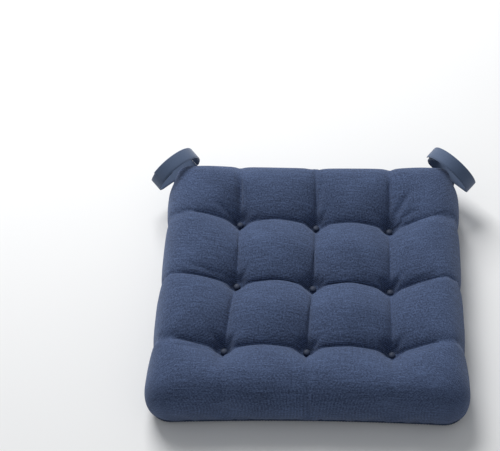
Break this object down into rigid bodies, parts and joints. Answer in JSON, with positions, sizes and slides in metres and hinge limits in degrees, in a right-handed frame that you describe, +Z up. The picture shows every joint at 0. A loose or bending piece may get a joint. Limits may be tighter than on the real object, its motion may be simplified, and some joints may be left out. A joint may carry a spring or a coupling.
{
  "type": "chair seat pad",
  "caption": "Square button-tufted chair seat pad with plump fibre-filled puffs and a hook-and-loop strap loop on each rear corner.",
  "frame": {"origin": "centre of the bounding box, on the surface that the pad rests on", "axes": "+Z up through the pad, +Y towards the strap side (the back of the seat), +X to the sitter's right when the picture is seen from the front"},
  "size_m": [0.4848, 0.4504, 0.0945],
  "materials": {
    "cover": "matte slubby woven cotton, navy",
    "underside": "matte plain woven cotton, darker navy",
    "fill": "white polyester fibre",
    "thread": "matte spun polyester thread",
    "button": "matte moulded, dark navy",
    "strap": "smooth close-woven tape, slate blue",
    "tape": "black hook-and-loop pile"
  },
  "bodies": {
    "pad": {"top_cover": "cover", "bottom_cover": "underside", "fibre_fill": "fill", "perimeter_seam": "thread", "top_button_back_left": "button", "under_button_back_left": "button", "tufting_twine_back_left": "thread", "top_button_back_centre": "button", "under_button_back_centre": "button", "tufting_twine_back_centre": "thread", "top_button_back_right": "button", "under_button_back_right": "button", "tufting_twine_back_right": "thread", "top_button_middle_left": "button", "under_button_middle_left": "button", "tufting_twine_middle_left": "thread", "top_button_middle_centre": "button", "under_button_middle_centre": "button", "tufting_twine_middle_centre": "thread", "top_button_middle_right": "button", "under_button_middle_right": "button", "tufting_twine_middle_right": "thread", "top_button_front_left": "button", "under_button_front_left": "button", "tufting_twine_front_left": "thread", "top_button_front_centre": "button", "under_button_front_centre": "button", "tufting_twine_front_centre": "thread", "top_button_front_right": "button", "under_button_front_right": "button", "tufting_twine_front_right": "thread", "right_strap_anchor": "strap", "left_strap_anchor": "strap"},
    "right_strap": {"right_strap_stem": "strap", "right_strap_base": "strap", "right_loop_tape": "tape"},
    "right_flap": {"right_strap_flap": "strap", "right_hook_tape": "tape"},
    "left_strap": {"left_strap_stem": "strap", "left_strap_base": "strap", "left_loop_tape": "tape"},
    "left_flap": {"left_strap_flap": "strap", "left_hook_tape": "tape"}
  },
  "joints": [
    {"name": "right_strap_swing", "type": "hinge", "parent": "pad", "child": "right_strap", "pos_m": [0.20065, 0.18347, 0.00855], "axis": [-0.7071, 0.7071, 0], "range_deg": [0, 70]},
    {"name": "right_flap_peel", "type": "hinge", "parent": "right_strap", "child": "right_flap", "pos_m": [0.23309, 0.16681, 0.04822], "axis": [0.6645, 0.6645, 0.342], "range_deg": [0, 100]},
    {"name": "left_strap_swing", "type": "hinge", "parent": "pad", "child": "left_strap", "pos_m": [-0.20066, 0.18347, 0.00855], "axis": [-0.7071, -0.7071, 0], "range_deg": [0, 70]},
    {"name": "left_flap_peel", "type": "hinge", "parent": "left_strap", "child": "left_flap", "pos_m": [-0.184, 0.21592, 0.04822], "axis": [-0.6645, 0.6645, 0.342], "range_deg": [0, 100]}
  ]
}
